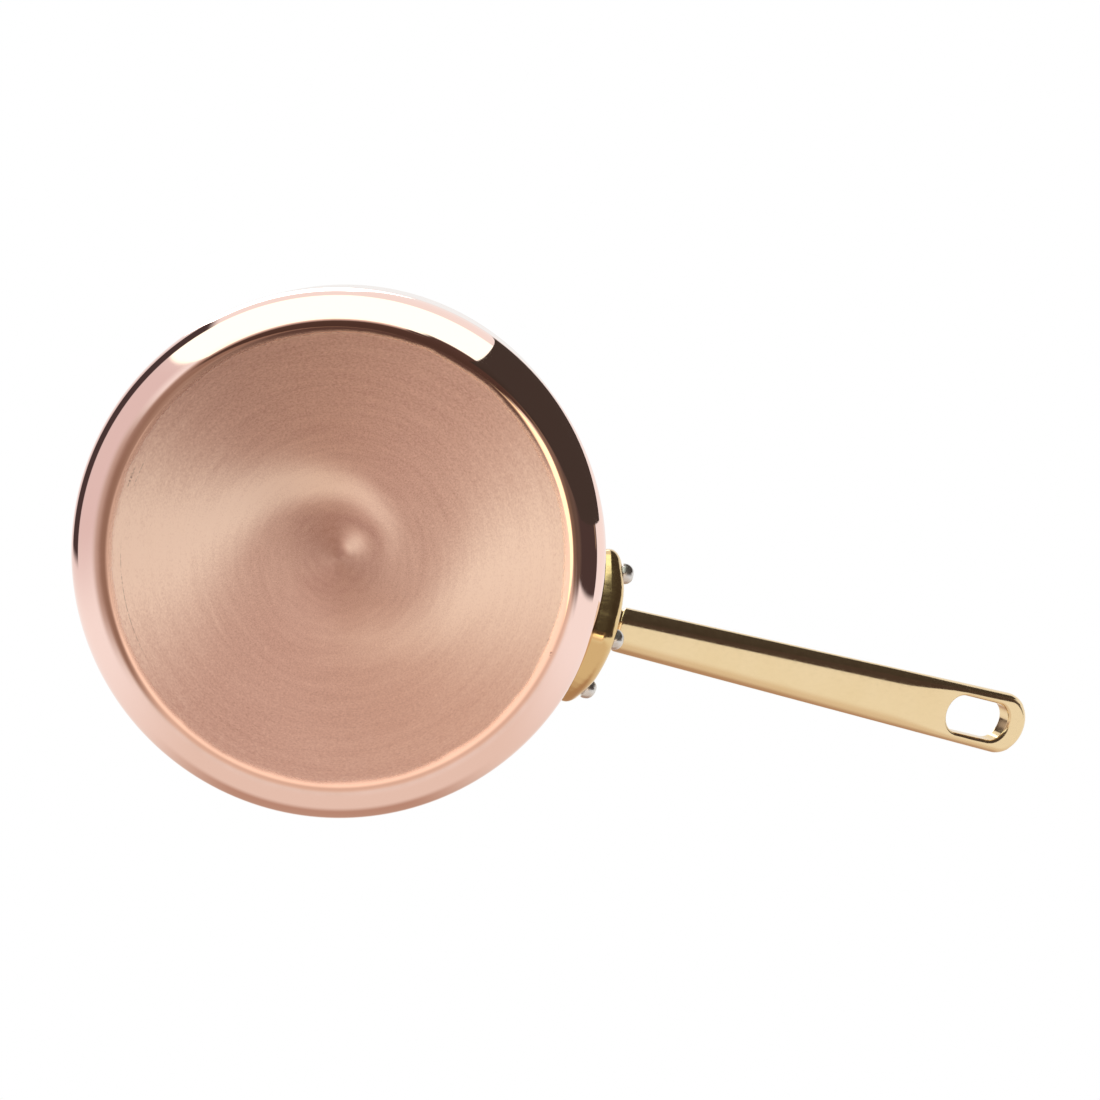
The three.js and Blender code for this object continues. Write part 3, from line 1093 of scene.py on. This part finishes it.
finish_piece(body, copper_material(), "copper", "copper_body")
finish_piece(lining, lining_material(), "lining", "steel_lining")
finish_piece(handle, brass_material(), "cast_brass", "handle")
rivet_steel = rivet_material()
for rivet in rivets:
    finish_piece(rivet, rivet_steel, "rivet", rivet.name.removesuffix("_steel"))
print("materials:", [m.name for m in bpy.data.materials if m.users])

# %% [markdown]
# ## The studio
# Polished metal shows what is round it, so the room matters as much as the finish. The room is
# white, with a long bright panel, a dark side, darker patches below and a bright slit, all drawn
# on the world by direction. Each zone has a tone, a range of tilt from straight down, and the
# middle and half width of its turn, in degrees, with a soft edge. Later zones lie over earlier
# ones. The camera sees plain white.

# %% World
def direction_zone(tree, tilt, turn, tilts, centre, half, soft):
    """One inside a patch of directions, and none outside it."""
    low, high = tilts
    above = ramp(tree, tilt, low - soft, low + soft)
    below = ramp(tree, tilt, high - soft, high + soft, 1, 0)
    beside = ramp(tree, turn_from(tree, turn, centre), half - soft, half + soft, 1, 0)
    return maths(tree, "MULTIPLY", maths(tree, "MULTIPLY", above, below), beside)


STUDIO_ZONES = (
    ((0.84, 0.74, 0.66), (30, 150), 72, 48, 16),
    ((0.52, 0.35, 0.27), (92, 150), 78, 28, 12),
    ((0.80, 0.70, 0.70), (40, 150), -178, 30, 12),
    ((0.92, 0.75, 0.66), (-20, 26), 0, 200, 6),
    ((1.48, 1.27, 1.13), (-20, 14), 0, 200, 4),
    ((0.55, 0.43, 0.37), (-20, 44), 160, 28, 10),
    ((0.38, 0.26, 0.21), (8, 28), 150, 34, 8),
    ((0.38, 0.26, 0.21), (-20, 26), -168, 16, 6),
    ((0.075, 0.052, 0.048), (18, 97), -47, 45, 1.2),
    ((0.24, 0.17, 0.13), (14, 27), -30, 38, 5),
    ((0.14, 0.10, 0.08), (24, 38), -12, 16, 5),
    ((0.30, 0.23, 0.16), (90, 94), -50, 36, 1),
    ((1.60, 1.75, 1.55), (23, 106), -111, 42, 1),
    ((0.07, 0.05, 0.05), (104, 138), -173, 32, 2),
    ((0.10, 0.06, 0.05), (-20, 19), -100, 62, 3),
    ((0.10, 0.06, 0.05), (-20, 28), -72, 14, 2),
    ((0.10, 0.06, 0.05), (-20, 8), -30, 26, 2),
    ((0.13, 0.08, 0.07), (-20, 5), 90, 94, 2),
    ((2.6, 2.2, 1.5), (5, 14), -2, 27, 2),
)


def studio_world():
    """The room, drawn zone by zone."""
    world = bpy.data.worlds.new("studio")
    bpy.context.scene.world = world
    world.use_nodes = True
    tree = world.node_tree
    background = tree.nodes["Background"]
    direction = node(tree, "ShaderNodeTexCoord").outputs["Generated"]
    x, y, z = node(tree, "ShaderNodeSeparateXYZ", {0: direction}).outputs
    tilt = maths(tree, "DEGREES", maths(tree, "ARCCOSINE", maths(tree, "MULTIPLY", z, -1)))
    turn = maths(tree, "DEGREES", maths(tree, "ARCTAN2", y, x))
    colour = blend(tree, ramp(tree, tilt, 150, 175), (1.0, 0.99, 0.98), (0.9, 0.88, 0.86))
    for tone, tilts, centre, half, soft in STUDIO_ZONES:
        zone = direction_zone(tree, tilt, turn, tilts, centre, half, soft)
        colour = blend(tree, zone, colour, tone)
    path = node(tree, "ShaderNodeLightPath")
    colour = blend(tree, path.outputs["Is Camera Ray"], colour, (1, 1, 1))
    tree.links.new(colour, background.inputs["Color"])
    background.inputs["Strength"].default_value = 1


studio_world()
bpy.context.scene.view_settings.view_transform = "Standard"
print("studio:", len(STUDIO_ZONES), "zones")

# %% [markdown]
# ## Floor, board and lamp
# The floor is a pale sheet that is clear from below, so that it doesn't hide the pan's base, and
# it isn't seen in the metal. A dark board beside the handle gives the arm its long dark
# reflection, as a black card does beside polished metal on a real table. One soft lamp above
# models the inside.

# %% Floor and lamp
FLOOR_RADIUS = 3
FLOOR_DROP = 0.2 * MM
LAMP_TARGET = Vector((0.05, 0, 0.05))


def pale_floor():
    """A wide pale disc at the pan's foot, clear to anything below it."""
    clear()
    bpy.ops.mesh.primitive_circle_add(
        vertices=96, radius=FLOOR_RADIUS, fill_type="NGON", location=(0, 0, -FLOOR_DROP)
    )
    floor = bpy.context.object
    floor.name = "floor"
    material = bpy.data.materials.new("floor")
    material.use_nodes = True
    tree = material.node_tree
    shader = tree.nodes["Principled BSDF"]
    shader.inputs["Base Color"].default_value = (0.80, 0.79, 0.78, 1)
    shader.inputs["Roughness"].default_value = 0.8
    see_through = node(tree, "ShaderNodeBsdfTransparent").outputs[0]
    side = node(tree, "ShaderNodeNewGeometry").outputs["Backfacing"]
    both = node(tree, "ShaderNodeMixShader", {0: side, 1: shader.outputs[0], 2: see_through})
    tree.links.new(both.outputs[0], tree.nodes["Material Output"].inputs["Surface"])
    floor.data.materials.append(material)
    for ray in ("diffuse", "glossy", "transmission", "volume_scatter", "shadow"):
        setattr(floor, f"visible_{ray}", False)


def soft_lamp(name, where, size, power):
    """A large square lamp that points at the pan."""
    lamp = bpy.data.objects.new(name, bpy.data.lights.new(name, "AREA"))
    bpy.context.scene.collection.objects.link(lamp)
    lamp.data.size = size
    lamp.data.energy = power
    lamp.location = where
    aim = LAMP_TARGET - Vector(where)
    lamp.rotation_euler = aim.to_track_quat("-Z", "Y").to_euler()
    lamp.visible_camera = False


# %% Dark board
CARD_PLACE = (0.26, -0.17, -0.08)
CARD_SIZE = (0.40, 0.66)


def dark_card():
    """A dark board beside the handle, seen only in reflections."""
    clear()
    bpy.ops.mesh.primitive_plane_add(size=1, location=CARD_PLACE, rotation=(math.pi / 2, 0, 0))
    card = bpy.context.object
    card.name = "dark_card"
    card.scale = (*CARD_SIZE, 1)
    done(card)
    material = bpy.data.materials.new("card")
    material.use_nodes = True
    shader = material.node_tree.nodes["Principled BSDF"]
    shader.inputs["Base Color"].default_value = (0, 0, 0, 1)
    shader.inputs["Specular IOR Level"].default_value = 0
    shader.inputs["Emission Color"].default_value = (0.06, 0.047, 0.04, 1)
    shader.inputs["Emission Strength"].default_value = 1
    card.data.materials.append(material)
    for ray in ("camera", "diffuse", "transmission", "volume_scatter", "shadow"):
        setattr(card, f"visible_{ray}", False)


pale_floor()
dark_card()
soft_lamp("lamp_above", (-0.6, -0.9, 1.5), 0.9, 9)
